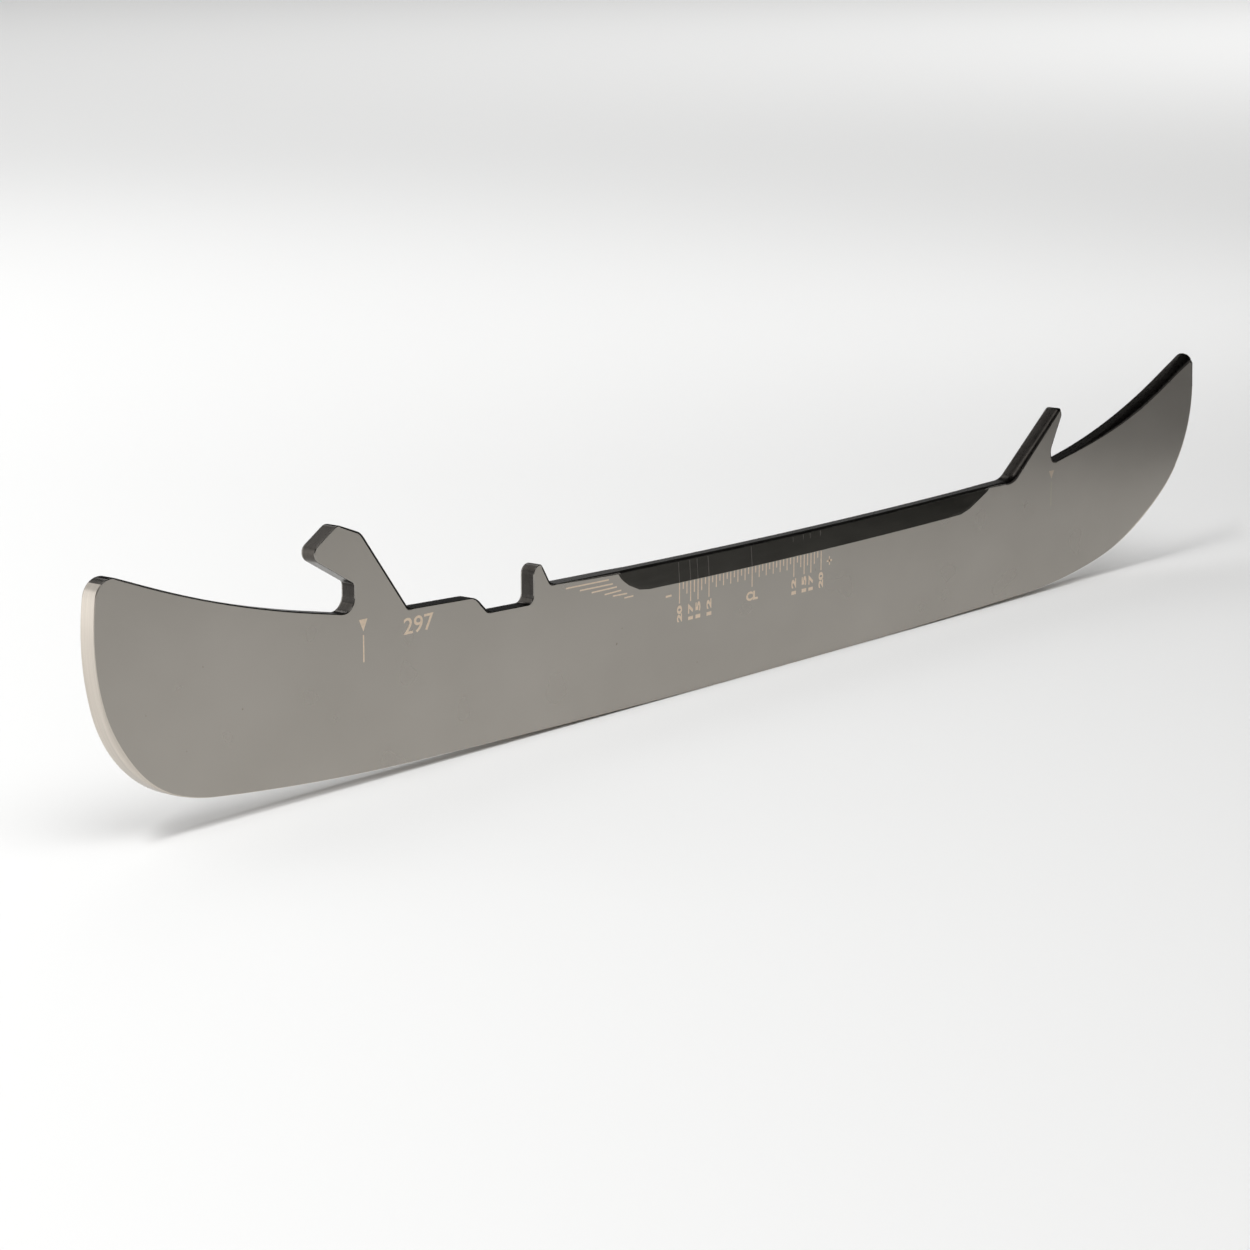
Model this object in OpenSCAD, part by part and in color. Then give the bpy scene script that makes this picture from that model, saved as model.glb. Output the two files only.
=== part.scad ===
// Hockey skate runner: a flat steel blade with a thin hard coat on both faces.
// The latch hook and its notch are at the -X end, the fixed hook is at the +X end.
// X runs along the blade, Y through its thickness, and Z up from the running edge.
// The origin is level with the lowest point, at mid length and mid thickness.

/* [Blade] */
// Thickness of the blade over both coats
thickness = 3; // [2.5:0.1:4]
// Thickness of the coat on each face
coat_t = 0.05; // [0.03:0.01:0.1]
// Height of the seat edge above the running edge, at the foot of the tab
seat_h = 23.9; // [20:0.1:28]

/* [Seat edge] */
// Length of the seat edge from the centre mark to the tab
seat_latch_l = 52.5; // [45:0.1:60]
// Length of the seat edge from the centre mark to the fixed hook
seat_fixed_l = 80.7; // [72:0.1:90]
// How much lower the seat edge is at the fixed hook than at the tab
seat_fall = 0.5; // [0:0.1:1]
// Depth at which the tangents of the hollow in the seat edge meet
seat_dip = 1.35; // [1:0.05:1.7]
// Radius of the hollow in the seat edge
seat_r = 2850; // [2000:50:3500]

/* [Seat bevel] */
// Depth of the bevel at the seat edge, on each face
bevel_depth = 0.3; // [0.1:0.05:0.6]
// Height of the bevel below the seat edge
bevel_h = 4; // [2:0.1:8]
// Length of the bevel's lower line from the centre mark towards the tab
bevel_latch_l = 30.5; // [22:0.1:36]
// Length of the bevel's lower line from the centre mark towards the fixed hook
bevel_fixed_l = 66.4; // [50:0.1:70]
// Run of the bevel's slanted end towards the tab
bevel_latch_run = 6; // [2:0.1:10]
// Run of the bevel's slanted end towards the fixed hook
bevel_fixed_run = 8; // [2:0.1:10]

/* [Latch tab and notch] */
// Run of the tab's slanted flank
tab_flank_l = 2.3; // [1.5:0.1:4]
// Height of the tab above its foot
tab_h = 3.7; // [2.5:0.1:6]
// Width of the tab's top
tab_top_l = 2.3; // [2:0.1:5]
// Radius at the foot of the tab's flank
tab_foot_r = 2; // [0.3:0.1:3]
// Radius at the top of the tab's flank
tab_flank_r = 1.4; // [0.3:0.1:2]
// Radius at the top of the tab's upright wall
tab_wall_r = 1.7; // [0.5:0.1:2.5]
// Depth of the latch notch below the tab's foot
notch_depth = 2.4; // [1.5:0.1:4]
// Length of the latch notch
notch_l = 10.3; // [7:0.1:14]
// Rise of the latch notch's floor towards the step
notch_rise = 0.3; // [0:0.1:0.6]
// Radius at the foot of the tab's upright wall
notch_r = 1.4; // [0.5:0.1:2]
// Run of the step up from the latch notch
step_l = 3.1; // [2:0.1:5]
// Height of the step
step_h = 2.9; // [2:0.1:4]
// Radius at the foot of the step
step_r = 2.6; // [0.4:0.1:4]
// Radius at the top of the step
step_top_r = 4.2; // [1:0.1:6]
// Length of the ledge between the step and the latch hook
ledge_l = 15.2; // [11:0.1:20]
// Rise of the ledge towards the latch hook
ledge_rise = 0.6; // [0:0.1:1]

/* [Latch hook] */
// Radius at the foot of the hook's back
hook_foot_r = 1.7; // [0.3:0.1:3]
// Run of the hook's back
hook_back_l = 10.1; // [7:0.1:14]
// Height of the hook's back
hook_back_h = 13.1; // [10:0.1:17]
// Radius at the top of the hook's back
hook_back_r = 3.3; // [1:0.1:5]
// Length of the hook's top
hook_top_l = 5.4; // [4:0.1:8]
// Rise of the hook's top
hook_top_rise = 2; // [1:0.1:3]
// Radius at the front of the hook's top
hook_top_r = 1.6; // [0.5:0.1:3]
// Run of the nose's upper side
nose_l = 6.4; // [4:0.1:8]
// Drop of the nose's upper side
nose_fall = 3.9; // [2.5:0.1:5]
// Radius of the nose
nose_r = 1.5; // [0.8:0.1:2.5]
// Depth of the throat under the nose
throat_l = 9.8; // [7:0.1:12]
// Drop of the nose's lower side
throat_fall = 5.5; // [4:0.1:7]
// Radius in the throat's upper corner
throat_roof_r = 0.9; // [0.4:0.1:1.5]
// Height of the throat's wall
throat_h = 4.7; // [4:0.1:8]
// Radius in the throat's lower corner
throat_floor_r = 2.3; // [1:0.1:3]

/* [Latch end] */
// Run of the sweep's lower part, from the throat
latch_sweep_l = 25.5; // [18:0.1:32]
// Rise of the sweep's lower part
latch_sweep_rise = 5; // [3:0.1:6]
// Radius of the sweep
latch_sweep_r = 228; // [150:1:300]
// Run of the sweep's upper part, up to the tip
latch_tip_l = 25.1; // [18:0.1:32]
// Rise of the sweep's upper part
latch_tip_rise = 9; // [7:0.1:12]
// Radius of the tip
latch_tip_r = 3.1; // [1.5:0.1:5]
// How far the end bows out past the tip
latch_bow_l = 1.8; // [0.8:0.1:3]
// Height from the tip down to the bow
latch_bow_h = 11.6; // [9:0.1:15]
// Radius of the bow
latch_bow_r = 38; // [20:1:50]
// Run of the end's upper curve back under the blade
latch_curve_l = 4.9; // [2:0.1:6]
// Height of the end's upper curve
latch_curve_h = 19.7; // [16:0.1:23]
// Radius of the end's upper curve
latch_curve_r = 21; // [12:1:30]
// Run of the end's lower curve
latch_heel_l = 15; // [11:0.1:19]
// Height of the end's lower curve
latch_heel_h = 4.4; // [3:0.1:6]
// Radius of the end's lower curve
latch_heel_r = 35; // [20:1:60]

/* [Fixed hook] */
// Radius at the foot of the hook
post_foot_r = 5.4; // [2:0.1:8]
// Run of the hook's slanted back
post_l = 16.3; // [12:0.1:22]
// Height of the hook's slanted back
post_h = 12; // [9:0.1:16]
// Radius at the top of the hook's back
post_back_r = 1.2; // [0.4:0.1:2]
// Length of the hook's top
post_top_l = 2.1; // [1.6:0.1:4]
// Drop of the hook's top
post_top_fall = 0.7; // [0.3:0.1:1.5]
// Radius at the end of the hook's top
post_top_r = 1.5; // [0.4:0.1:2]
// Run of the hook's undercut front
undercut_l = 5.8; // [4:0.1:8]
// Height of the hook's undercut front
undercut_h = 10.2; // [7:0.1:12]
// Radius at the bottom of the undercut
undercut_r = 1.9; // [0.6:0.1:3]

/* [Fixed end] */
// Run of the sweep's lower part, from the undercut
fixed_sweep_l = 30; // [22:0.1:36]
// Rise of the sweep's lower part
fixed_sweep_rise = 5.1; // [3:0.1:7]
// Radius of the sweep
fixed_sweep_r = 168; // [100:1:200]
// Run of the sweep's upper part, up to the tip
fixed_tip_l = 24.5; // [18:0.1:32]
// Rise of the sweep's upper part
fixed_tip_rise = 12.4; // [9:0.1:15]
// Radius of the tip
fixed_tip_r = 2; // [1:0.1:4]
// Height of the upright end
fixed_end_h = 20.6; // [17:0.1:24]
// Radius of the end's upper curve
fixed_end_r = 24.5; // [12:0.5:30]
// Run of the end's middle curve back under the blade
fixed_curve_l = 20.8; // [15:0.1:26]
// Height of the end's middle curve
fixed_curve_h = 14.6; // [11:0.1:16]
// Radius of the end's middle curve
fixed_curve_r = 59; // [35:1:80]

/* [Running edge] */
// Radius of the rocker
rocker_r = 3550; // [2900:50:4200]
// Lowest point of the rocker, from the centre mark
rocker_x = 12.5; // [0:0.5:20]
// Length of the rocker from its lowest point towards the latch end
rocker_latch_l = 98.5; // [80:0.5:105]
// Length of the rocker from its lowest point towards the fixed end
rocker_fixed_l = 71.5; // [55:0.5:78]
// Reach of the latch end's first tangent past the rocker
latch_lead_l = 20.5; // [12:0.5:24]
// Radius of the curve between the rocker and the latch end
latch_lead_r = 470; // [300:10:700]
// Reach of the fixed end's first tangent past the rocker
fixed_lead_l = 16.5; // [12:0.5:22]
// Radius of the curve between the rocker and the fixed end
fixed_lead_r = 156; // [100:1:220]

/* [Hidden] */

// How far a straight stretch of a rounded corner may lie inside its true arc
arc_error = 0.005;
// Sides of the full cone that the seat bevel is a small part of
ring_sides = 3600;
// How far a cut reaches past the surface that it shapes
overlap = 1;

// A point at an angle from straight down and a distance from the rocker's centre
function rocker_point(angle, distance) =
    [rocker_x + distance * sin(angle), rocker_r - distance * cos(angle)];
// The direction of the running edge there, towards +X
function rocker_way(angle) = [cos(angle), sin(angle)];

latch_angle = -asin(rocker_latch_l / rocker_r);
fixed_angle = asin(rocker_fixed_l / rocker_r);
rocker_tip = rocker_point((latch_angle + fixed_angle) / 2,
                          rocker_r / cos((fixed_angle - latch_angle) / 2));
latch_lead = rocker_point(latch_angle, rocker_r) - latch_lead_l * rocker_way(latch_angle);
fixed_lead = rocker_point(fixed_angle, rocker_r) + fixed_lead_l * rocker_way(fixed_angle);

// Moves from corner to corner: run, rise and the radius of the corner that is reached.
// Both lists start below the centre mark, at the height of the running edge.
latch_moves = [
    [-seat_latch_l, seat_h, tab_foot_r],
    [-tab_flank_l, tab_h, tab_flank_r],
    [-tab_top_l, 0, tab_wall_r],
    [0, -tab_h - notch_depth, notch_r],
    [-notch_l, notch_rise, step_r],
    [-step_l, step_h, step_top_r],
    [-ledge_l, ledge_rise, hook_foot_r],
    [-hook_back_l, hook_back_h, hook_back_r],
    [-hook_top_l, hook_top_rise, hook_top_r],
    [-nose_l, -nose_fall, nose_r],
    [throat_l, -throat_fall, throat_roof_r],
    [0, -throat_h, throat_floor_r],
    [-latch_sweep_l, latch_sweep_rise, latch_sweep_r],
    [-latch_tip_l, latch_tip_rise, latch_tip_r],
    [-latch_bow_l, -latch_bow_h, latch_bow_r],
    [latch_curve_l, -latch_curve_h, latch_curve_r],
    [latch_heel_l, -latch_heel_h, latch_heel_r]
];
fixed_moves = [
    [seat_fixed_l, seat_h - seat_fall, post_foot_r],
    [post_l, post_h, post_back_r],
    [post_top_l, -post_top_fall, post_top_r],
    [-undercut_l, -undercut_h, undercut_r],
    [fixed_sweep_l, fixed_sweep_rise, fixed_sweep_r],
    [fixed_tip_l, fixed_tip_rise, fixed_tip_r],
    [0, -fixed_end_h, fixed_end_r],
    [-fixed_curve_l, -fixed_curve_h, fixed_curve_r]
];

// The corners that a list of moves reaches, each with its radius
function reached(moves, last) = last < 0 ? [0, 0] : reached(moves, last - 1) + [moves[last].x, moves[last].y];
function walk(moves) = [for (i = [0 : len(moves) - 1]) concat(reached(moves, i), moves[i].z)];
function reverse(list) = [for (i = [len(list) - 1 : -1 : 0]) list[i]];

seat_tip = [(seat_fixed_l - seat_latch_l) / 2, seat_h - seat_fall / 2 - seat_dip];

// All corners of the blade's outline, anticlockwise from the rocker
corners = concat(
    [concat(rocker_tip, rocker_r)],
    [concat(fixed_lead, fixed_lead_r)],
    reverse(walk(fixed_moves)),
    [concat(seat_tip, seat_r)],
    walk(latch_moves),
    [concat(latch_lead, latch_lead_r)]
);
corner_count = len(corners);
seat_index = 2 + len(fixed_moves);
fixed_end_index = 3;
latch_bow_index = seat_index + len(latch_moves) - 2;

function corner(i) = corners[(i + corner_count) % corner_count];
function place(i) = [corner(i).x, corner(i).y];
function edge_l(i) = norm(place(i + 1) - place(i));
function way(i, j) = (place(j) - place(i)) / norm(place(j) - place(i));
function half_angle(i) = acos(way(i, i - 1) * way(i, i + 1)) / 2;
function bisector(i) = (way(i, i - 1) + way(i, i + 1)) / norm(way(i, i - 1) + way(i, i + 1));
function is_convex(i) = cross(way(i - 1, i), way(i, i + 1)) > 0;

// The wanted length of each tangent, which two corners share where their edge is too short
function tangent(i) = corner(i).z / tan(half_angle(i));
function share(i) =
    min(1, edge_l(i - 1) / (tangent(i - 1) + tangent(i)), edge_l(i) / (tangent(i) + tangent(i + 1)));
function setback(i) = tangent(i) * share(i);
function radius(i) = setback(i) * tan(half_angle(i));
function centre(i) = place(i) + bisector(i) * radius(i) / sin(half_angle(i));

// The ends of the blade along X, from the centre mark
latch_end_x = centre(latch_bow_index).x - radius(latch_bow_index);
fixed_end_x = place(fixed_end_index).x;
middle_x = (latch_end_x + fixed_end_x) / 2;
overall_l = fixed_end_x - latch_end_x;
echo(overall_length = overall_l, centre_mark_x = -middle_x);

// The arc that rounds a corner, as points between its two tangents
function arc(i) =
    let (
        start = place(i) + way(i, i - 1) * setback(i) - centre(i),
        start_angle = atan2(start.y, start.x),
        turn = (180 - 2 * half_angle(i)) * (is_convex(i) ? 1 : -1),
        steps = ceil(abs(turn) / (2 * acos(1 - arc_error / radius(i))))
    )
    [for (k = [0 : steps]) let (angle = start_angle + turn * k / steps)
        centre(i) + radius(i) * [cos(angle), sin(angle)]];

// The blade's outline, with X from the centre mark
module outline() {
    polygon([for (i = [0 : corner_count - 1]) each arc(i)]);
}

// What the bevel along the seat edge takes off the upper or the lower face of the lying blade
module seat_bevel(upper) {
    slope = bevel_depth / bevel_h;
    face = thickness / 2;
    cone_h = slope * (bevel_h + overlap) + overlap;
    seat_radius = radius(seat_index);
    inner_r = seat_radius - overlap;
    outer_r = inner_r + cone_h / slope;
    line_z = centre(seat_index).y - seat_radius - bevel_h;
    intersection() {
        translate(concat(centre(seat_index), upper ? face + overlap - cone_h : -face - overlap))
            cylinder(cone_h, upper ? inner_r : outer_r, upper ? outer_r : inner_r, $fn = ring_sides);
        linear_extrude(thickness + 3 * overlap, center = true) polygon([
            [-bevel_latch_l, line_z],
            [bevel_fixed_l, line_z],
            [bevel_fixed_l + 2 * bevel_fixed_run, line_z + 2 * bevel_h],
            [-bevel_latch_l - 2 * bevel_latch_run, line_z + 2 * bevel_h]
        ]);
    }
}

// What it is given, with the seat bevel cut into its upper or its lower face
module bevelled(upper) {
    difference() {
        children();
        seat_bevel(upper);
    }
}

// A layer of the blade between two depths, bevelled on both faces and stood on its running edge
module layer(low, high) {
    rotate([90, 0, 0]) translate([-middle_x, 0, 0])
        bevelled(false) bevelled(true) translate([0, 0, low]) linear_extrude(high - low) outline();
}

module steel_runner() {
    color("silver") layer(coat_t - thickness / 2, thickness / 2 - coat_t);
}

module front_coat() {
    color("dimgray") layer(thickness / 2 - coat_t, thickness / 2);
}

module back_coat() {
    color("dimgray") layer(-thickness / 2, coat_t - thickness / 2);
}

steel_runner();
front_coat();
back_coat();
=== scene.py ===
import math

import bmesh
import bpy
from mathutils import Matrix, Vector


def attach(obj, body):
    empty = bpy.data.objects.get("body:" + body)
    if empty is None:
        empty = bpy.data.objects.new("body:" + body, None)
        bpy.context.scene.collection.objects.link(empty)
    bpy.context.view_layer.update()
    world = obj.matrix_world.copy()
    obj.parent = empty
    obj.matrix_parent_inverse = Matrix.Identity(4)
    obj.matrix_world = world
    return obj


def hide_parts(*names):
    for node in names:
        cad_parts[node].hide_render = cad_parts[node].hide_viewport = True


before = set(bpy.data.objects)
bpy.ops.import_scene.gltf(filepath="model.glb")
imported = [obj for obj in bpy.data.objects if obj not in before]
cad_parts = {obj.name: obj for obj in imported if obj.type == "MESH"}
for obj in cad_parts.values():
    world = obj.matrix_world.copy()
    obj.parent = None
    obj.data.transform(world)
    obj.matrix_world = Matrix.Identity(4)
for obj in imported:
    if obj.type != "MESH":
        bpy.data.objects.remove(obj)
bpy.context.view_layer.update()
mm = 0.001  # sizes in the dictionaries are in millimetres
print("frame loaded:", sorted(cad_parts))


def selectOnly(*pieces):
    bpy.ops.object.select_all(action="DESELECT")
    for piece in pieces:
        piece.select_set(True)
    bpy.context.view_layer.objects.active = pieces[0]


def editFaces(piece, test):
    # edit mode, with only the faces that pass the test selected
    selectOnly(piece)
    bpy.ops.object.mode_set(mode="EDIT")
    bpy.ops.mesh.select_mode(type="FACE")
    bpy.ops.mesh.select_all(action="DESELECT")
    mesh = bmesh.from_edit_mesh(piece.data)
    mesh.normal_update()
    for face in mesh.faces:
        if test(face):
            face.select_set(True)
    bmesh.update_edit_mesh(piece.data)


def leaveEdit():
    bpy.ops.object.mode_set(mode="OBJECT")


def joined(pieces, name):
    selectOnly(*pieces)
    bpy.ops.object.join()
    piece = bpy.context.object
    piece.name = name
    piece.data.name = name
    return piece


# finishes: each shader reads Object coordinates, which are the blade's own metres

def newFinish(name, roughness, metallic):
    material = bpy.data.materials.new(name)
    material.use_nodes = True
    shader = material.node_tree.nodes["Principled BSDF"]
    shader.inputs["Metallic"].default_value = metallic
    shader.inputs["Roughness"].default_value = roughness
    return material


def addNode(material, kind, **settings):
    node = material.node_tree.nodes.new(kind)
    for key, value in settings.items():
        setattr(node, key, value)
    return node


def link(material, source, target):
    material.node_tree.links.new(source, target)


def feed(material, source, socket):
    link(material, source, material.node_tree.nodes["Principled BSDF"].inputs[socket])


def placeNoise(material, stretch, detail=4.0, roughness=0.55):
    # noise in the object's own metres, stretched by a Mapping node
    coords = addNode(material, "ShaderNodeTexCoord")
    mapping = addNode(material, "ShaderNodeMapping")
    mapping.inputs["Scale"].default_value = stretch
    noise = addNode(material, "ShaderNodeTexNoise")
    noise.inputs["Scale"].default_value = 1.0
    noise.inputs["Detail"].default_value = detail
    noise.inputs["Roughness"].default_value = roughness
    link(material, coords.outputs["Object"], mapping.inputs["Vector"])
    link(material, mapping.outputs["Vector"], noise.inputs["Vector"])
    return noise.outputs["Fac"]


def tones(material, factor, stops):
    ramp = addNode(material, "ShaderNodeValToRGB")
    while len(ramp.color_ramp.elements) < len(stops):
        ramp.color_ramp.elements.new(0.5)
    for element, (place, colour) in zip(ramp.color_ramp.elements, stops):
        element.position = place
        element.color = (*colour, 1.0)
    link(material, factor, ramp.inputs["Fac"])
    return ramp.outputs["Color"]


def spread(material, factor, low, high):
    # a value between low and high, from the range that a noise mostly covers
    reach = addNode(material, "ShaderNodeMapRange")
    reach.inputs["From Min"].default_value = 0.15
    reach.inputs["From Max"].default_value = 0.85
    reach.inputs["To Min"].default_value = low
    reach.inputs["To Max"].default_value = high
    link(material, factor, reach.inputs["Value"])
    return reach.outputs["Result"]


def multiplied(material, first, second):
    mix = addNode(material, "ShaderNodeMix", data_type="RGBA", blend_type="MULTIPLY")
    mix.inputs["Factor"].default_value = 1.0
    link(material, first, mix.inputs[6])  # the colour sockets of this node
    link(material, second, mix.inputs[7])
    return mix.outputs[2]


def roughened(material, height, strength, distance):
    bump = addNode(material, "ShaderNodeBump")
    bump.inputs["Strength"].default_value = strength
    bump.inputs["Distance"].default_value = distance
    link(material, height, bump.inputs["Height"])
    feed(material, bump.outputs["Normal"], "Normal")


def mottled(material, factor, dark, pale):
    feed(material, tones(material, factor, ((0.3, dark), (0.7, pale))), "Base Color")


def polishedCoat():
    look = {
        "dark": (0.343, 0.321, 0.288), "pale": (0.398, 0.373, 0.339), "cloudScale": (45.0, 45.0, 60.0),
        "fleck": (0.7, 0.68, 0.65), "fleckScale": (800.0, 800.0, 900.0),
        "hazeScale": (90.0, 90.0, 120.0), "roughness": (0.268, 0.292),
    }
    finish = newFinish("polishedCoat", 0.28, 1.0)
    clouds = placeNoise(finish, look["cloudScale"], 2.0)
    ground = tones(finish, clouds, ((0.1, look["dark"]), (0.9, look["pale"])))
    flecks = placeNoise(finish, look["fleckScale"], 1.0)
    spots = tones(finish, flecks, ((0.15, look["fleck"]), (0.20, (1.0, 1.0, 1.0))))
    feed(finish, multiplied(finish, ground, spots), "Base Color")
    haze = placeNoise(finish, look["hazeScale"], 1.0)
    feed(finish, spread(finish, haze, *look["roughness"]), "Roughness")
    return finish


def reliefCoat():
    look = {
        "dark": (0.052, 0.050, 0.045), "pale": (0.074, 0.071, 0.064), "cloudScale": (60.0, 60.0, 260.0),
        "speck": (3.2, 3.1, 2.9), "speckScale": (1100.0, 1100.0, 1300.0),
        "streakScale": (40.0, 40.0, 1800.0), "roughness": (0.15, 0.24),
        "glance": (0.35, 0.35, 0.34, 1.0),  # the share mirrored at a glancing view
    }
    finish = newFinish("reliefCoat", 0.18, 1.0)
    shader = finish.node_tree.nodes["Principled BSDF"]
    shader.inputs["Specular Tint"].default_value = look["glance"]
    clouds = placeNoise(finish, look["cloudScale"])
    ground = tones(finish, clouds, ((0.3, look["dark"]), (0.7, look["pale"])))
    specks = placeNoise(finish, look["speckScale"], 1.0)
    spots = tones(finish, specks, ((0.17, look["speck"]), (0.20, (1.0, 1.0, 1.0))))
    feed(finish, multiplied(finish, ground, spots), "Base Color")
    streaks = placeNoise(finish, look["streakScale"])
    feed(finish, spread(finish, streaks, *look["roughness"]), "Roughness")
    return finish


def edgeCoat(name, dark, pale, glance=1.0):
    # glance is the share mirrored at a glancing view
    look = {
        "cloudScale": (260.0, 700.0, 260.0), "grainScale": (900.0, 2600.0, 900.0),
        "roughness": (0.22, 0.36), "bump": (0.08, 0.00002),
    }
    finish = newFinish(name, 0.3, 1.0)
    shader = finish.node_tree.nodes["Principled BSDF"]
    shader.inputs["Specular Tint"].default_value = (glance, glance, glance, 1.0)
    mottled(finish, placeNoise(finish, look["cloudScale"]), dark, pale)
    grain = placeNoise(finish, look["grainScale"], 5.0)
    feed(finish, spread(finish, grain, *look["roughness"]), "Roughness")
    roughened(finish, grain, *look["bump"])
    return finish


def brokenEdge():
    look = {
        "dark": (0.28, 0.266, 0.245), "pale": (0.34, 0.324, 0.300), "cloudScale": (300.0, 300.0, 300.0),
        "roughness": (0.19, 0.26),
    }
    finish = newFinish("brokenEdge", 0.22, 1.0)
    clouds = placeNoise(finish, look["cloudScale"], 2.0)
    mottled(finish, clouds, look["dark"], look["pale"])
    feed(finish, spread(finish, clouds, *look["roughness"]), "Roughness")
    return finish


def groundSteel():
    look = {
        "dark": (0.52, 0.475, 0.42), "pale": (0.65, 0.595, 0.53), "lineScale": (60.0, 6500.0, 60.0),
        "roughness": (0.24, 0.38), "bump": (0.1, 0.00001),
    }
    finish = newFinish("groundSteel", 0.3, 1.0)
    lines = placeNoise(finish, look["lineScale"], 5.0)
    mottled(finish, lines, look["dark"], look["pale"])
    feed(finish, spread(finish, lines, *look["roughness"]), "Roughness")
    roughened(finish, lines, *look["bump"])
    return finish


def etchedTan(name, dark, pale):
    look = {"grainScale": (2500.0, 2500.0, 2500.0), "roughness": (0.33, 0.45)}
    finish = newFinish(name, 0.38, 1.0)
    grain = placeNoise(finish, look["grainScale"], 3.0)
    mottled(finish, grain, dark, pale)
    feed(finish, spread(finish, grain, *look["roughness"]), "Roughness")
    return finish


finishes = {
    "face": polishedCoat(),
    "relief": reliefCoat(),
    "edge": edgeCoat("edgeCoat", (0.078, 0.071, 0.064), (0.119, 0.109, 0.098)),
    # a darker copy of the edge coat: painted shade on the latch side's walls and slopes
    "wall": edgeCoat("shadedWallCoat", (0.038, 0.035, 0.033), (0.058, 0.054, 0.050), 0.4),
    "ground": groundSteel(),
    "break": brokenEdge(),
    "mark": etchedTan("etchedMark", (0.72, 0.59, 0.46), (0.84, 0.69, 0.54)),
    "dull": etchedTan("dullMark", (0.54, 0.46, 0.37), (0.62, 0.53, 0.43)),
    "pale": etchedTan("paleMark", (0.41, 0.39, 0.32), (0.46, 0.435, 0.36)),
    "faint": etchedTan("faintMark", (0.14, 0.13, 0.12), (0.21, 0.195, 0.18)),
}
finishOrder = ["face", "relief", "edge", "ground", "break", "wall"]
print("finishes:", len(finishes))


# the blade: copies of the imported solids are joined, their edges broken, then split into steel and coats

blade = {
    "coatDepth": 0.05,
    "weld": 0.002,  # points closer than this become one
    "wallSpan": 2.0,  # a wall of the outline reaches further than this across the blade
    "lowerHalf": 18.0,  # up to this height an edge belongs to the running edge and the ends
    "upperHalf": 20.0,  # from this height a wall belongs to the upper edge
    "flatAngle": 0.08,
    "smoothAngle": 35.0,
    "faceSink": 0.006,  # the etched marks stand this far proud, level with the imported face
    # edge breaks
    "edgeBreak": 0.45,  # seat edge and most of the far side; other places are scaled from it
    "breakSteps": 4,
    "breakKeep": (-38.0, 78.0),  # between these the seat edge keeps its break
    "latchBreak": 0.13,
    "slopeBreak": 0.65,  # slopes of the latch hook, step and tab that face the fixed end
    "hookBreak": 1.25,  # back of the fixed hook and the end of the sweep behind it
    "hollowBreak": 0.2,  # start of that sweep
    "undercutBreak": 0.9,  # undercut of the fixed hook
    "capBreak": 0.75,  # back of the fixed hook at its top
    "tipBreak": (1.7, 0.9),  # near and far side of the fixed tip
    "endBreak": 0.8,
    "runningBreak": 0.07,  # the running edge is left nearly sharp
    "grindBreak": 0.8,  # ground corner on the near side of the latch end
    # where one break runs into the next: along the blade, by height, or by the wall's tilt towards +X
    "runningSpan": (-138.0, -122.0, 112.0, 132.0),
    "tabFoot": (-50.0, -38.0),
    "hookFoot": (78.0, 84.0),
    "undercutRun": (84.0, 90.0),
    "sweepRun": (98.0, 132.0),
    "tipFrom": 120.0,
    "tipRun": (140.0, 147.0),
    "tipRise": (34.0, 38.0),
    "endDrop": (39.8, 38.2),
    "capRise": (29.0, 34.0),
    "slopeTilt": (0.05, 0.8),
    "backTilt": (0.3, -0.05),
    "undercutTilt": (0.3, 0.8),
    "endTilt": (0.2, 1.0),
    "hookBack": (94.0, 102.0, 31.0),  # up to the first along the blade, or to the second above a height
    "grindFrom": -110.0,  # the ground corner lies beyond this
    "grindMiddle": (-147.0, 12.0),
    "grindSpread": 9.0,
    # which finish goes where
    "grindTop": 22.0,  # walls that face down are ground below this
    "grindEnds": (-140.0, 110.0),  # beyond these the ends are ground too
    "grindStop": (38.6, 34.0),  # the grinding ends below the rounded tips, latch and fixed end
    "darkTo": -50.5,  # foot of the tab, up to which the latch side's walls get painted shade
    "uprightFrom": -100.5,  # the nose of the latch hook, before this, isn't among them
    "slopeFrom": -110.0,
    "seatSpan": (-40.0, 80.0),  # between these the broken edge is bare
    # the dark relief beside the seat edge
    "lowerArc": (25.6, 18.86, 5708.0),  # middle, height there, and the doubled radius
    "upperArc": (25.6, 22.86, 5700.0),
    "reliefSlope": 0.075,
    "reliefLeast": 0.04,  # where it would be shallower it is left out
    "reliefSeat": (1.1, 1.3),  # its line on the seat edge lies between these, from the middle
    "reliefWall": 1.2,  # and its end walls beyond this
    "reliefRange": (-40.0, 78.0),
    "reliefLeft": (-36.0, 8.5, 4.0),  # its end, and the length and height of the rounded run-out
    "reliefRight": (66.05, 0.418, 1.0),  # foot of its slanted end, with the slope and rounding there
    "reliefFine": ((-35.8, -26.0), (63.0, 74.0)),
}
half = 1.5  # half of the thickness
flush = half - 0.0001  # further out than this is level with the face
coatLine = half - blade["coatDepth"]


def copyNode(nodeName):
    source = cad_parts[nodeName]
    piece = source.copy()
    piece.data = source.data.copy()
    piece.parent = None
    for key in list(piece.keys()):
        del piece[key]
    bpy.context.collection.objects.link(piece)
    return piece


def onCoatLine(vert):
    return abs(abs(vert.co.y) / mm - coatLine) < blade["weld"]


def isInner(face):
    # where steel and coat touch
    flat = abs(face.normal.y) > 0.999
    return flat and all(onCoatLine(vert) for vert in face.verts)


def arcHeight(arc, x):
    middle, height, doubled = arc
    return height + (x - middle) ** 2 / doubled


def lowerLine(x):
    # the relief's lower edge, from which the scale hangs
    return arcHeight(blade["lowerArc"], x)


def upperLine(x):
    return arcHeight(blade["upperArc"], x)


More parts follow.
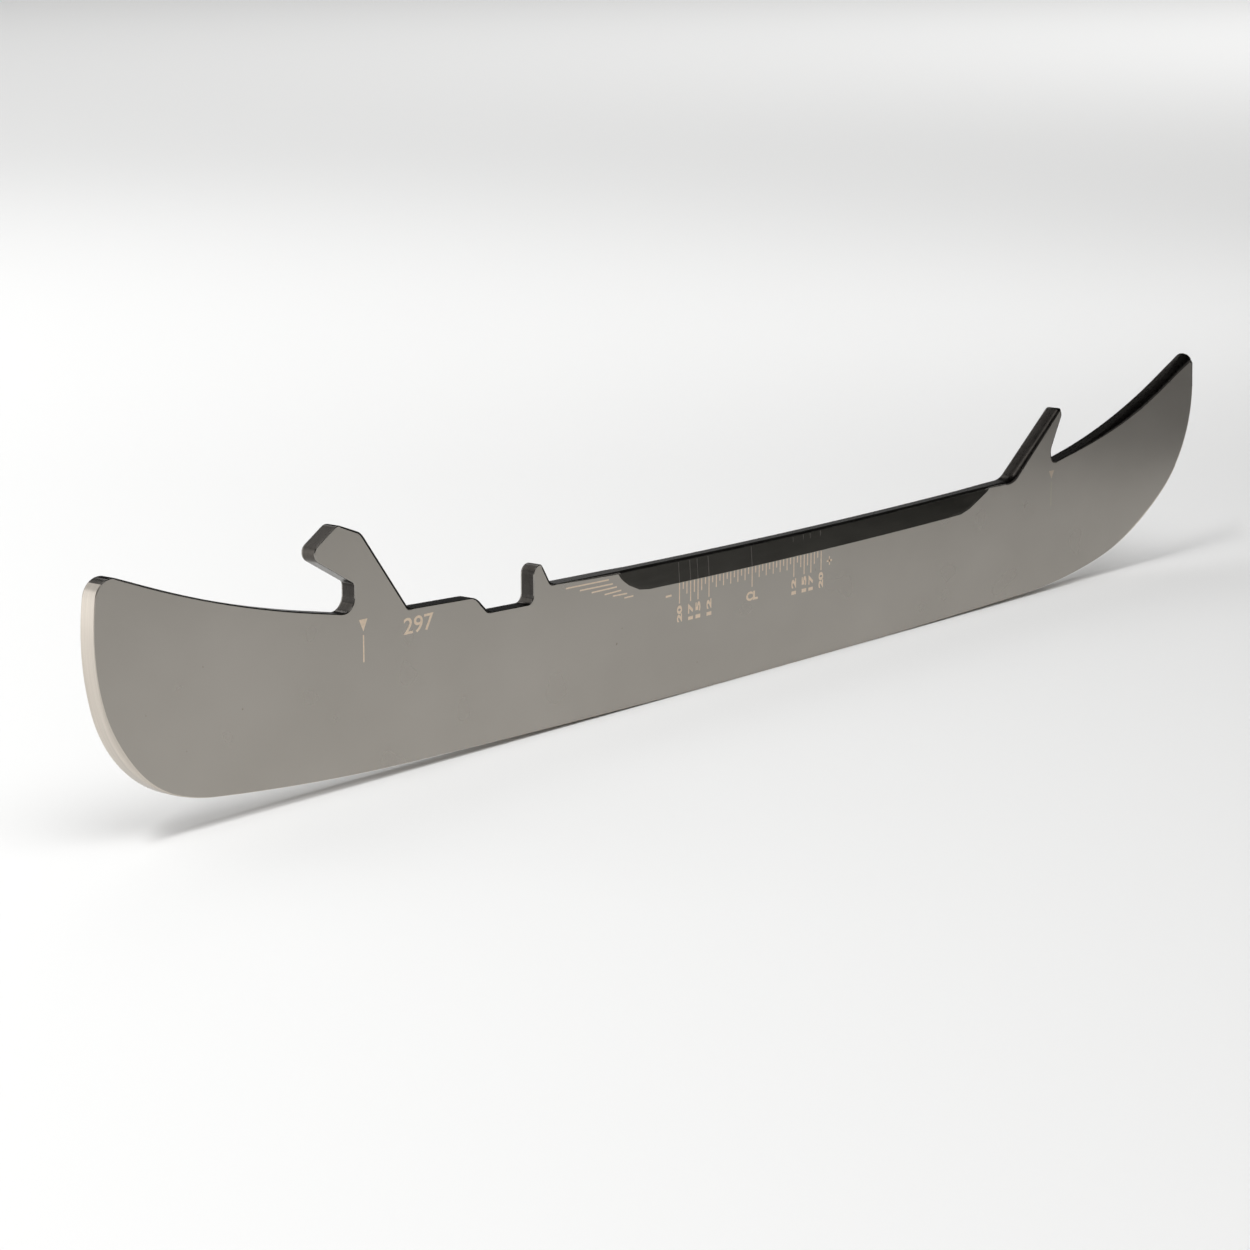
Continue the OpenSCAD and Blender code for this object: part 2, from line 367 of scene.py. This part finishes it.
def reliefBorder(x):
    # the lower line, drawn up to the seat edge at both ends
    leftEnd, run, rise = blade["reliefLeft"]
    corner, slope, rounding = blade["reliefRight"]
    leftRise = rise * max(0.0, 1.0 - (x - leftEnd) / run) ** 2
    rightRise = slope * ((x - corner) + math.hypot(x - corner, rounding)) / 2.0
    return lowerLine(x) + leftRise + rightRise


def isReliefEnd(face):
    # the small walls at the two ends of the relief
    middle = face.calc_center_median() / mm
    low, high = blade["reliefRange"]
    inRange = low < middle.x < high and middle.z > blade["lowerHalf"]
    return inRange and abs(face.normal.y) < 0.5 and abs(middle.y) > blade["reliefWall"]


def onReliefSeat(vert):
    low, high = blade["reliefSeat"]
    return low * mm < abs(vert.co.y) < high * mm and vert.co.z > blade["upperHalf"] * mm


def spansBlade(face):
    sides = [vert.co.y for vert in face.verts]
    return max(sides) - min(sides) > blade["wallSpan"] * mm


def isGround(place, normal):
    x = place.x / mm
    z = place.z / mm
    latchFrom, fixedFrom = blade["grindEnds"]
    latchStop, fixedStop = blade["grindStop"]
    facesDown = normal.z < -0.02
    facesLatch = normal.x < -0.1
    facesFixed = normal.x > 0.1 and normal.z < 0.5
    if z < blade["grindTop"] and facesDown:
        return True
    if x < latchFrom and z < latchStop and facesLatch:
        return True
    return x > fixedFrom and z < fixedStop and facesFixed


def isLatchWall(place, normal):
    # upright walls of the throat and the tab, level stretches and slopes, which get a darker copy of the
    # edge coat as painted shade
    x = place.x / mm
    if x > blade["darkTo"] or place.z / mm < blade["upperHalf"]:
        return False
    upright = x > blade["uprightFrom"] and normal.x < -0.86
    level = normal.z > 0.975
    slope = normal.x > 0.2
    return upright or level or slope


def isCoatedBreak(place, normal):
    # broken edges given the dark edge and wall coats, partly real coat and partly painted shade for their
    # dark reflection: all of the fixed side, and the latch side's slopes towards it
    x = place.x / mm
    seatFrom, seatTo = blade["seatSpan"]
    if place.z / mm < blade["upperHalf"] or seatFrom < x < seatTo:
        return False
    slope = x > blade["slopeFrom"] and normal.x > 0.06
    return x > 0.0 or slope


def isOutline(edge):
    walls = [face for face in edge.link_faces if spansBlade(face)]
    sides = [face for face in edge.link_faces if abs(face.normal.y) > 0.9]
    return len(walls) == 1 and len(sides) == 1


def ease(start, end, value):
    share = min(1.0, max(0.0, (value - start) / (end - start)))
    return share * share * (3.0 - 2.0 * share)


def sweepSize(x):
    growth = blade["hookBreak"] - blade["hollowBreak"]
    return blade["hollowBreak"] + growth * ease(*blade["sweepRun"], x)


def onHookBack(x, z):
    foot, lean, height = blade["hookBack"]
    return x < foot or (x < lean and z > height)


def breakScale(x, z, facing, near):
    # the edge break at a place on the outline, as a share of edgeBreak
    # facing is the wall's tilt towards +X, and near the side with the marks
    seat = blade["edgeBreak"]
    size = seat
    latchSize = blade["latchBreak"] if near else seat
    fixedSize = blade["endBreak"] if near else seat
    nearTip, farTip = blade["tipBreak"]
    if z < blade["lowerHalf"]:
        start, full, fade, end = blade["runningSpan"]
        size = latchSize if x < 0.0 else fixedSize
        size += (blade["runningBreak"] - size) * (ease(start, full, x) - ease(fade, end, x))
    elif near and x > blade["tipFrom"]:
        size = sweepSize(x) + (nearTip - blade["hookBreak"]) * ease(*blade["tipRun"], x)
        size += (fixedSize - size) * ease(*blade["endTilt"], facing) * ease(*blade["endDrop"], z)
    elif x > blade["tipFrom"]:
        size += (farTip - seat) * ease(*blade["tipRun"], x) * ease(*blade["tipRise"], z)
    elif near and x > 0.0:
        back = sweepSize(x)
        if onHookBack(x, z):
            back = blade["hookBreak"]
            back += (blade["capBreak"] - back) * ease(*blade["capRise"], z)
        size += (back - size) * ease(*blade["hookFoot"], x) * ease(*blade["backTilt"], facing)
        undercut = ease(*blade["undercutRun"], x) * ease(*blade["undercutTilt"], facing)
        size += (blade["undercutBreak"] - size) * undercut
    elif near:
        slope = latchSize + (blade["slopeBreak"] - latchSize) * ease(*blade["slopeTilt"], facing)
        size = slope + (seat - slope) * ease(*blade["tabFoot"], x)
    if near and x < blade["grindFrom"]:
        middleX, middleZ = blade["grindMiddle"]
        away = math.hypot(x - middleX, z - middleZ) / blade["grindSpread"]
        size += (blade["grindBreak"] - size) * math.exp(-away * away)
    return size / seat


def wallFacing(vert):
    tilts = [face.normal.x for face in vert.link_faces if spansBlade(face)]
    return sum(tilts) / len(tilts) if tilts else 0.0


def keepsBreak(vert):
    low, high = blade["breakKeep"]
    return vert.co.z >= blade["lowerHalf"] * mm and low < vert.co.x / mm < high


def outlineDistance(first, second):
    return math.hypot(first.x - second.x, first.z - second.z)


def shapeBreaks(piece):
    # each cross-section of the broken edge is scaled about its corner on the outline
    selectOnly(piece)
    bpy.ops.object.mode_set(mode="EDIT")
    mesh = bmesh.from_edit_mesh(piece.data)
    mesh.normal_update()
    face = (half - blade["faceSink"]) * mm
    start = face - blade["edgeBreak"] * mm
    weld = blade["weld"] * mm
    for side in (-1.0, 1.0):
        strip = [vert for vert in mesh.verts if vert.co.y * side > start - weld]
        strip = [vert for vert in strip if not keepsBreak(vert)]
        corners = []
        for vert in strip:
            if vert.co.y * side < start + weld:
                place = vert.co / mm
                scale = breakScale(place.x, place.z, wallFacing(vert), side < 0.0)
                corners.append((vert.co.copy(), scale))
        for vert in strip:
            corner, scale = min(corners, key=lambda pair: outlineDistance(pair[0], vert.co))
            vert.co.x = corner.x + (vert.co.x - corner.x) * scale
            vert.co.z = corner.z + (vert.co.z - corner.z) * scale
            vert.co.y = side * (face - (face - vert.co.y * side) * scale)
    bmesh.update_edit_mesh(piece.data)
    leaveEdit()


solid = joined([copyNode("steel_runner"), copyNode("front_coat"), copyNode("back_coat")], "blade")
editFaces(solid, isInner)
bpy.ops.mesh.delete(type="FACE")
bpy.ops.mesh.select_all(action="SELECT")
bpy.ops.mesh.remove_doubles(threshold=blade["weld"] * mm)
leaveEdit()
for side in (1.0, -1.0):
    editFaces(solid, lambda face: face.normal.y * side > 0.9999)
    bpy.ops.mesh.dissolve_faces()
    leaveEdit()
selectOnly(solid)
bpy.ops.object.mode_set(mode="EDIT")
bpy.ops.mesh.select_mode(type="EDGE")
bpy.ops.mesh.select_all(action="DESELECT")
mesh = bmesh.from_edit_mesh(solid.data)
for edge in mesh.edges:
    onSeam = all(onCoatLine(vert) for vert in edge.verts)
    if onSeam and edge.verts[0].co.y * edge.verts[1].co.y > 0.0:
        edge.select_set(True)
bmesh.update_edit_mesh(solid.data)
bpy.ops.mesh.dissolve_edges(use_verts=True)
leaveEdit()
editFaces(solid, lambda face: abs(face.normal.y) < 0.5)
bpy.ops.mesh.dissolve_limited(angle_limit=math.radians(blade["flatAngle"]), delimit=set())
leaveEdit()

# the relief is drawn again with rounded ends: its seat line is kept, and its surface pulled down from it
editFaces(solid, lambda face: abs(face.normal.y) > 0.8 or isReliefEnd(face))
bpy.ops.mesh.delete(type="FACE")
bpy.ops.mesh.select_mode(type="EDGE")
bpy.ops.mesh.select_all(action="DESELECT")
mesh = bmesh.from_edit_mesh(solid.data)
for edge in mesh.edges:
    middle = (edge.verts[0].co.x + edge.verts[1].co.x) / 2.0 / mm
    fine = any(low < middle < high for low, high in blade["reliefFine"])
    if fine and edge.is_boundary and all(onReliefSeat(vert) for vert in edge.verts):
        edge.select_set(True)
bmesh.update_edit_mesh(solid.data)
bpy.ops.mesh.subdivide(number_cuts=1)
mesh = bmesh.from_edit_mesh(solid.data)
reliefSpan = [1e3, -1e3]
for vert in mesh.verts:
    if onReliefSeat(vert):
        x = vert.co.x / mm
        depth = blade["reliefSlope"] * max(0.0, vert.co.z / mm - reliefBorder(x))
        inside = depth > blade["reliefLeast"]
        if inside:
            reliefSpan = [min(reliefSpan[0], x), max(reliefSpan[1], x)]
        vert.co.y = math.copysign((half - (depth if inside else 0.0)) * mm, vert.co.y)
bmesh.update_edit_mesh(solid.data)
bpy.ops.mesh.select_all(action="SELECT")
bpy.ops.mesh.remove_doubles(threshold=blade["weld"] * mm)
for side in (-1.0, 1.0):
    bpy.ops.mesh.select_mode(type="EDGE")
    bpy.ops.mesh.select_all(action="DESELECT")
    mesh = bmesh.from_edit_mesh(solid.data)
    for edge in mesh.edges:
        sunk = any(blade["reliefSeat"][0] * mm < vert.co.y * side < flush * mm for vert in edge.verts)
        if edge.is_boundary and sunk:
            edge.select_set(True)
    bmesh.update_edit_mesh(solid.data)
    bpy.ops.mesh.extrude_edges_move(TRANSFORM_OT_translate={"value": (0.0, 0.0, -mm)})
    mesh = bmesh.from_edit_mesh(solid.data)
    for vert in mesh.verts:
        if vert.select:
            atEnd = abs(vert.co.y) > flush * mm
            vert.co.z = vert.co.z + mm if atEnd else reliefBorder(vert.co.x / mm) * mm
            vert.co.y = side * half * mm
    bmesh.update_edit_mesh(solid.data)
bpy.ops.mesh.select_all(action="SELECT")
bpy.ops.mesh.remove_doubles(threshold=blade["weld"] * mm)
for side in (-1.0, 1.0):
    bpy.ops.mesh.select_all(action="DESELECT")
    mesh = bmesh.from_edit_mesh(solid.data)
    for edge in mesh.edges:
        if edge.is_boundary and edge.verts[0].co.y * side > 0.0:
            edge.select_set(True)
    bmesh.update_edit_mesh(solid.data)
    bpy.ops.mesh.edge_face_add()
bpy.ops.mesh.select_all(action="SELECT")
bpy.ops.mesh.normals_make_consistent(inside=False)
leaveEdit()
print("relief from", round(reliefSpan[0], 1), "to", round(reliefSpan[1], 1))

solid.data.materials.clear()
for key in finishOrder:
    solid.data.materials.append(finishes[key])
selectOnly(solid)
bpy.ops.object.mode_set(mode="EDIT")
mesh = bmesh.from_edit_mesh(solid.data)
mesh.normal_update()
shares = mesh.edges.layers.float.new("bevel_weight_edge")
for edge in mesh.edges:
    edge[shares] = 1.0 if isOutline(edge) else 0.0
for face in mesh.faces:
    if abs(face.normal.y) > 0.9999:
        kind = "face"
    elif abs(face.normal.y) > 0.8:
        kind = "relief"
    elif isGround(face.calc_center_median(), face.normal):
        kind = "ground"
    elif isLatchWall(face.calc_center_median(), face.normal):
        kind = "wall"
    else:
        kind = "edge"
    face.material_index = finishOrder.index(kind)
for vert in mesh.verts:
    if abs(vert.co.y) > (half - 0.001) * mm:
        vert.co.y -= math.copysign(blade["faceSink"] * mm, vert.co.y)
bmesh.update_edit_mesh(solid.data)
leaveEdit()
bpy.ops.object.modifier_add(type="BEVEL")
breakEdges = solid.modifiers[-1]
breakEdges.limit_method = "WEIGHT"
breakEdges.width = blade["edgeBreak"] * mm
breakEdges.segments = blade["breakSteps"]
breakEdges.use_clamp_overlap = False
breakEdges.material = finishOrder.index("break")
bpy.ops.object.modifier_apply(modifier=breakEdges.name)
shapeBreaks(solid)
for face in solid.data.polygons:
    if face.material_index == finishOrder.index("break"):
        if isGround(face.center, face.normal):
            face.material_index = finishOrder.index("ground")
        elif isCoatedBreak(face.center, face.normal):
            # the dark coats on these breaks are partly painted shade
            kind = "edge" if face.center.x > 0.0 else "wall"
            face.material_index = finishOrder.index(kind)
print("blade solid:", len(solid.data.vertices), "verts,", len(solid.data.polygons), "faces")


def keepFacesFlat(part):
    # the wide faces end in sharp edges, so the broken edges don't bend their shading
    selectOnly(part)
    bpy.ops.object.mode_set(mode="EDIT")
    mesh = bmesh.from_edit_mesh(part.data)
    for edge in mesh.edges:
        wide = [finishOrder[face.material_index] in ("face", "relief") for face in edge.link_faces]
        if any(wide) and not all(wide):
            edge.smooth = False
    bmesh.update_edit_mesh(part.data)
    leaveEdit()


def cutPiece(piece, name, cuts):
    part = piece.copy()
    part.data = piece.data.copy()
    bpy.context.collection.objects.link(part)
    part.name = name
    part.data.name = name
    for level, keepAbove in cuts:
        editFaces(part, lambda face: True)
        bpy.ops.mesh.bisect(
            plane_co=(0.0, level * mm, 0.0), plane_no=(0.0, 1.0, 0.0), use_fill=True,
            clear_inner=keepAbove, clear_outer=not keepAbove, threshold=1e-7)
        leaveEdit()
    selectOnly(part)
    bpy.ops.object.shade_smooth_by_angle(angle=math.radians(blade["smoothAngle"]))
    keepFacesFlat(part)
    bpy.ops.object.modifier_add(type="WEIGHTED_NORMAL")
    part.modifiers[-1].keep_sharp = True
    bpy.ops.object.modifier_apply(modifier=part.modifiers[-1].name)
    return part


steelRunner = cutPiece(solid, "steelRunner", ((-coatLine, True), (coatLine, False)))
frontCoat = cutPiece(solid, "frontCoat", ((-coatLine, False),))
backCoat = cutPiece(solid, "backCoat", ((coatLine, True),))
bpy.data.objects.remove(solid)
for piece, node, slotName in (
        (steelRunner, "steel_runner", "ground_steel"),
        (frontCoat, "front_coat", "hard_coat"),
        (backCoat, "back_coat", "hard_coat")):
    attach(piece, "root")
    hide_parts(node)
    print(piece.name, len(piece.data.polygons), "faces")


# etched marks on the near face, each a thin plate let into the coat

marks = {
    "centre": 0.84,  # the scale's middle, along the blade
    "proud": half,
    "depth": 0.02,
    "lineWidth": 0.28,
    "stemWidth": 0.3,
    "taper": 0.96,  # the front of a plate is this much narrower
}


def plateBlank(corners):
    # a flat blank facing the reader, with a slightly narrower front, one unit across
    bpy.ops.object.select_all(action="DESELECT")
    bpy.ops.mesh.primitive_circle_add(
        vertices=corners, radius=0.5, fill_type="NGON", rotation=(math.pi / 2, 0, 0))
    blank = bpy.context.object
    bpy.ops.object.transform_apply(location=False, rotation=True, scale=False)
    bpy.ops.object.mode_set(mode="EDIT")
    if corners == 4:
        bpy.ops.transform.rotate(value=math.pi / 4, orient_axis="Y", center_override=(0, 0, 0))
        bpy.ops.transform.resize(value=(math.sqrt(2.0), 1.0, math.sqrt(2.0)))
    bpy.ops.mesh.select_all(action="SELECT")
    bpy.ops.mesh.extrude_region_move(TRANSFORM_OT_translate={"value": (0, -1.0, 0)})
    bpy.ops.transform.resize(value=(marks["taper"], 1.0, marks["taper"]))
    bpy.ops.mesh.select_all(action="SELECT")
    bpy.ops.mesh.normals_make_consistent(inside=False)
    leaveEdit()
    return blank


bar = plateBlank(4)
arrow = plateBlank(3)


def placePlate(blank, size, place, turn=0.0, lean=0.0):
    # size along X and Z, and place of its middle along X, Z and Y, in millimetres
    # turn is in the face, lean tips its top back
    plate = blank.copy()
    plate.data = blank.data.copy()
    bpy.context.collection.objects.link(plate)
    scale = Matrix.Diagonal((size[0] * mm, marks["depth"] * mm, size[1] * mm, 1.0))
    spin = Matrix.Rotation(turn, 4, "Y")
    tip = Matrix.Rotation(-lean, 4, "X")
    back = -marks["proud"] + marks["depth"] + place[2]
    move = Matrix.Translation(Vector((place[0], back, place[1])) * mm)
    plate.data.transform(move @ tip @ spin @ scale)
    return plate


def placeText(words, wide, high, place, upward=False, thicken=0.0):
    # words made a mesh, fitted to a size in millimetres and set with their middle at the place
    bpy.ops.object.select_all(action="DESELECT")
    bpy.ops.object.text_add()
    text = bpy.context.object
    text.data.body = words
    text.data.align_x = "CENTER"
    text.data.extrude = 0.05  # any depth, as it is fitted below
    text.data.offset = thicken
    text.data.resolution_u = 6
    bpy.ops.object.convert(target="MESH")
    text = bpy.context.object
    lowest = [min(vert.co[axis] for vert in text.data.vertices) for axis in range(3)]
    highest = [max(vert.co[axis] for vert in text.data.vertices) for axis in range(3)]
    middle = Matrix.Translation([-(low + top) / 2.0 for low, top in zip(lowest, highest)])
    fit = Matrix.Diagonal((
        wide * mm / (highest[0] - lowest[0]), high * mm / (highest[1] - lowest[1]),
        marks["depth"] * mm / (highest[2] - lowest[2]), 1.0))
    stand = Matrix.Rotation(math.pi / 2, 4, "X")
    turn = Matrix.Rotation(-math.pi / 2 if upward else 0.0, 4, "Y")
    back = -marks["proud"] + marks["depth"] / 2.0
    move = Matrix.Translation(Vector((place[0], back, place[1])) * mm)
    text.data.transform(move @ turn @ stand @ fit @ middle)
    return text


def finishMark(pieces, name, finish="mark"):
    piece = joined(pieces, name)
    piece.data.materials.clear()
    piece.data.materials.append(finishes[finish])
    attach(piece, "root")
    return piece


scaleMarks = {
    "reach": 20, "odd": 1.2, "even": 2.15, "named": 3.6,
    "namedAt": (12, 15, 17, 20), "labelDrop": 5.3, "label": (2.85, 1.35), "labelBold": 0.045,
    "letters": (3.3, 1.6), "lettersDrop": 5.1, "lettersBold": 0.05,
    "minus": (-22.9, -1.6), "plus": (22.5, -2.3), "signSize": 1.6, "signLines": (0.36, 0.3),
    "crossing": 0.15, "shortCrossing": 0.9,
    "crossingInset": (0.05, 0.5),  # from the relief's lower and upper line
    "crossingProud": 0.004,
}
ticks = []
numbers = []
crossings = []
for step in range(-scaleMarks["reach"], scaleMarks["reach"] + 1):
    x = marks["centre"] + step
    named = step == 0 or abs(step) in scaleMarks["namedAt"]
    length = scaleMarks["named"] if named else scaleMarks["odd"] if step % 2 else scaleMarks["even"]
    ticks.append(placePlate(bar, (marks["lineWidth"], length), (x, lowerLine(x) - length / 2.0, 0.0)))
    if named and step:
        place = (x, lowerLine(x) - scaleMarks["labelDrop"])
        words = str(abs(step))
        numbers.append(placeText(words, *scaleMarks["label"], place, True, scaleMarks["labelBold"]))
    if named:
        # lines over the relief: whole on one side, only their upper ends on the other
        lowInset, topInset = scaleMarks["crossingInset"]
        top = upperLine(x) - topInset
        low = lowerLine(x) + lowInset if step <= 0 else top - scaleMarks["shortCrossing"]
        back = blade["reliefSlope"] * ((low + top) / 2.0 - lowerLine(x)) - scaleMarks["crossingProud"]
        place = (x, (low + top) / 2.0, back)
        lean = math.atan(blade["reliefSlope"])
        crossing = placePlate(bar, (scaleMarks["crossing"], top - low), place, 0.0, lean)
        if step:
            crossings.append(crossing)
        else:
            middleLine = crossing
x = marks["centre"]
place = (x, lowerLine(x) - scaleMarks["lettersDrop"])
numbers.append(placeText("CL", *scaleMarks["letters"], place, False, scaleMarks["lettersBold"]))
levelLine, uprightLine = scaleMarks["signLines"]
for sign in ("minus", "plus"):
    along, above = scaleMarks[sign]
    place = (x + along, lowerLine(x) + above, 0.0)
    numbers.append(placePlate(bar, (scaleMarks["signSize"], levelLine), place))
    if sign == "plus":
        numbers.append(placePlate(bar, (uprightLine, scaleMarks["signSize"]), place))
finishMark(ticks, "scaleTicks")
finishMark(numbers, "scaleNumbers")
finishMark(crossings, "scaleCrossings", "faint")
finishMark([middleLine], "scaleMiddleLine", "faint")
print("scale:", len(ticks), "lines")

indexMarks = {
    "latch": {
        "x": -95.26, "top": 25.4, "point": 23.45, "wide": 1.9, "line": (23.0, 18.7),
        "finish": "mark", "lineFinish": "mark"},
    "fixed": {
        "x": 95.64, "top": 23.5, "point": 21.9, "wide": 1.9, "line": (21.4, 16.6),
        "finish": "dull", "lineFinish": "pale"},
}
for name, mark in indexMarks.items():
    tall = mark["top"] - mark["point"]
    place = (mark["x"], mark["top"] - tall / 3.0, 0.0)
    # the blank is a triangle in a circle one unit across, so cos(30) units wide and 0.75 units tall
    pointer = placePlate(arrow, (mark["wide"] / math.cos(math.pi / 6), tall / 0.75), place, math.pi)
    upper, lower = mark["line"]
    stem = placePlate(bar, (marks["stemWidth"], upper - lower), (mark["x"], (upper + lower) / 2.0, 0.0))
    finishMark([pointer], name + "Index", mark["finish"])
    finishMark([stem], name + "IndexLine", mark["lineFinish"])

sizeNumber = {"words": "297", "size": (6.7, 2.6), "place": (-83.1, 22.7), "bold": 0.01}
number = placeText(
    sizeNumber["words"], *sizeNumber["size"], sizeNumber["place"], False, sizeNumber["bold"])
finishMark([number], "sizeNumber")

hatch = {
    "width": 0.26,
    "ends": (
        ((-48.6, 22.75), (-37.5, 22.53)),
        ((-45.1, 21.88), (-36.5, 21.71)),
        ((-42.1, 21.08), (-35.5, 21.05)),
        ((-38.8, 20.24), (-34.4, 20.31)),
        ((-36.7, 19.67), (-32.9, 19.55)),
        ((-33.7, 18.9), (-31.3, 18.9))),
}
stripes = []
for left, right in hatch["ends"]:
    long = math.hypot(right[0] - left[0], right[1] - left[1])
    rise = math.atan2(right[1] - left[1], right[0] - left[0])
    middle = ((left[0] + right[0]) / 2.0, (left[1] + right[1]) / 2.0, 0.0)
    stripes.append(placePlate(bar, (long, hatch["width"]), middle, -rise))
finishMark(stripes, "hatchStripes")
for blank in (bar, arrow):
    bpy.data.objects.remove(blank)
print("marks done")


# floor, lamps and camera

studio = {
    "floorSize": 40.0,
    "floor": (0.82, 0.82, 0.815),
    "skyByHeight": ((0.0, 0.30), (0.20, 0.26), (0.36, 0.03), (1.0, 0.03)),
    "skyByDepth": ((0.35, 0.2), (0.6, 1.0)),  # darker in front of the blade than behind it
    # cards out of frame, seen only as reflections in the far end's face and in edges that look along +X
    "cards": {
        "greyCard": {
            "place": (0.235, -0.066, 0.025), "turn": (90.0, 0.0, 60.0),
            "wide": 0.26, "high": 0.05, "grey": 0.35},
        "blackCard": {
            "place": (0.55, -0.05, 0.13), "turn": (90.0, 0.0, 90.0),
            "wide": 0.7, "high": 0.26, "grey": 0.015},
    },
}


def dullFinish(name, colour):
    finish = newFinish(name, 0.9, 0.0)
    shader = finish.node_tree.nodes["Principled BSDF"]
    shader.inputs["Base Color"].default_value = (*colour, 1.0)
    shader.inputs["Specular IOR Level"].default_value = 0.1
    return finish


def greyTones(material, factor, stops):
    return tones(material, factor, [(place, (level, level, level)) for place, level in stops])


bpy.ops.object.select_all(action="DESELECT")
bpy.ops.mesh.primitive_plane_add(size=studio["floorSize"], location=(0.0, 0.0, 0.0))
floor = bpy.context.object
floor.name = "studioFloor"
floor.data.materials.append(dullFinish("palePaper", studio["floor"]))

for name, flag in studio["cards"].items():
    bpy.ops.object.select_all(action="DESELECT")
    bpy.ops.mesh.primitive_plane_add(
        size=1.0, location=flag["place"], rotation=[math.radians(angle) for angle in flag["turn"]])
    card = bpy.context.object
    card.name = name
    card.scale = (flag["wide"], flag["high"], 1.0)
    card.visible_camera = False
    card.visible_diffuse = False
    card.visible_shadow = False
    card.data.materials.append(dullFinish(name + "Felt", (flag["grey"], flag["grey"], flag["grey"])))

world = bpy.data.worlds.new("studioWorld")
world.use_nodes = True
skyCoords = addNode(world, "ShaderNodeTexCoord")
skyParts = addNode(world, "ShaderNodeSeparateXYZ")
link(world, skyCoords.outputs["Generated"], skyParts.inputs["Vector"])
skyDepth = addNode(world, "ShaderNodeMapRange")
skyDepth.inputs["From Min"].default_value = -1.0
link(world, skyParts.outputs["Y"], skyDepth.inputs["Value"])
byHeight = greyTones(world, skyParts.outputs["Z"], studio["skyByHeight"])
byDepth = greyTones(world, skyDepth.outputs["Result"], studio["skyByDepth"])
sky = world.node_tree.nodes["Background"]
link(world, multiplied(world, byHeight, byDepth), sky.inputs["Color"])
bpy.context.scene.world = world

lamps = {
    "sideLamp": {
        "place": (-1.2, -0.1, 1.8), "aim": (-1.7, 0.9, 1.3), "size": 1.0, "power": 114.0, "glint": False},
    "farLamp": {"place": (2.5, -0.7, 3.0), "aim": (3.5, 0.3, 2.5), "size": 2.0, "power": 165.0},
    "backLamp": {"place": (0.5, 0.1, 0.35), "aim": (0.5, 1.1, 0.05), "size": 0.3, "power": 0.43},
    "endCard": {"place": (-0.62, 0.62, 0.23), "aim": (-0.148, 0.0, 0.03), "size": 0.42, "power": 0.7},
    "keyLamp": {"place": (-0.2, -0.45, 0.68), "aim": (-0.1, 0.0, 0.02), "size": 0.7, "power": 1.8},
    "hookCard": {"place": (-0.3, 0.9, 0.75), "aim": (-0.1, 0.0, 0.03), "size": 1.0, "power": 2.4},
    "topCard": {"place": (0.08, 0.12, 1.2), "aim": (0.08, 0.0, 0.0), "size": 0.5, "power": 0.26},
    "bendCard": {"place": (-0.55, -0.70, 0.34), "aim": (-0.08, 0.0, 0.03), "size": 0.3, "power": 0.22},
    "footCard": {"place": (0.45, 0.68, 0.66), "aim": (-0.09, 0.0, 0.03), "size": 0.35, "power": 0.5},
}
for name, lamp in lamps.items():
    bpy.ops.object.light_add(type="AREA", location=lamp["place"])
    light = bpy.context.object
    light.name = name
    light.data.size = lamp["size"]
    light.data.energy = lamp["power"]
    light.visible_camera = False
    light.visible_glossy = lamp.get("glint", True)
    aim = Vector(lamp["aim"]) - Vector(lamp["place"])
    light.rotation_euler = aim.to_track_quat("-Z", "Y").to_euler()

overhead = {"strength": 1.3, "angle": 60.0, "tilt": (18.0, -14.0, 0.0)}
bpy.ops.object.light_add(type="SUN", location=(0.0, 0.0, 2.0))
light = bpy.context.object
light.name = "overheadDome"
light.data.energy = overhead["strength"]
light.data.angle = math.radians(overhead["angle"])
light.visible_glossy = False  # an even wash, not a highlight
light.rotation_euler = [math.radians(angle) for angle in overhead["tilt"]]

view = {
    "place": (-0.45726, -0.3487, 0.1304),
    "turn": (78.04, 0.0, -50.67),
    "lens": 98.44,
    "sensor": 36.0,
    "clip": (0.01, 100.0),
}
bpy.ops.object.camera_add(location=view["place"])
camera = bpy.context.object
camera.rotation_euler = [math.radians(angle) for angle in view["turn"]]
camera.data.lens = view["lens"]
camera.data.sensor_width = view["sensor"]
camera.data.clip_start, camera.data.clip_end = view["clip"]
bpy.context.scene.camera = camera
bpy.context.scene.view_settings.view_transform = "Standard"
print("studio ready")
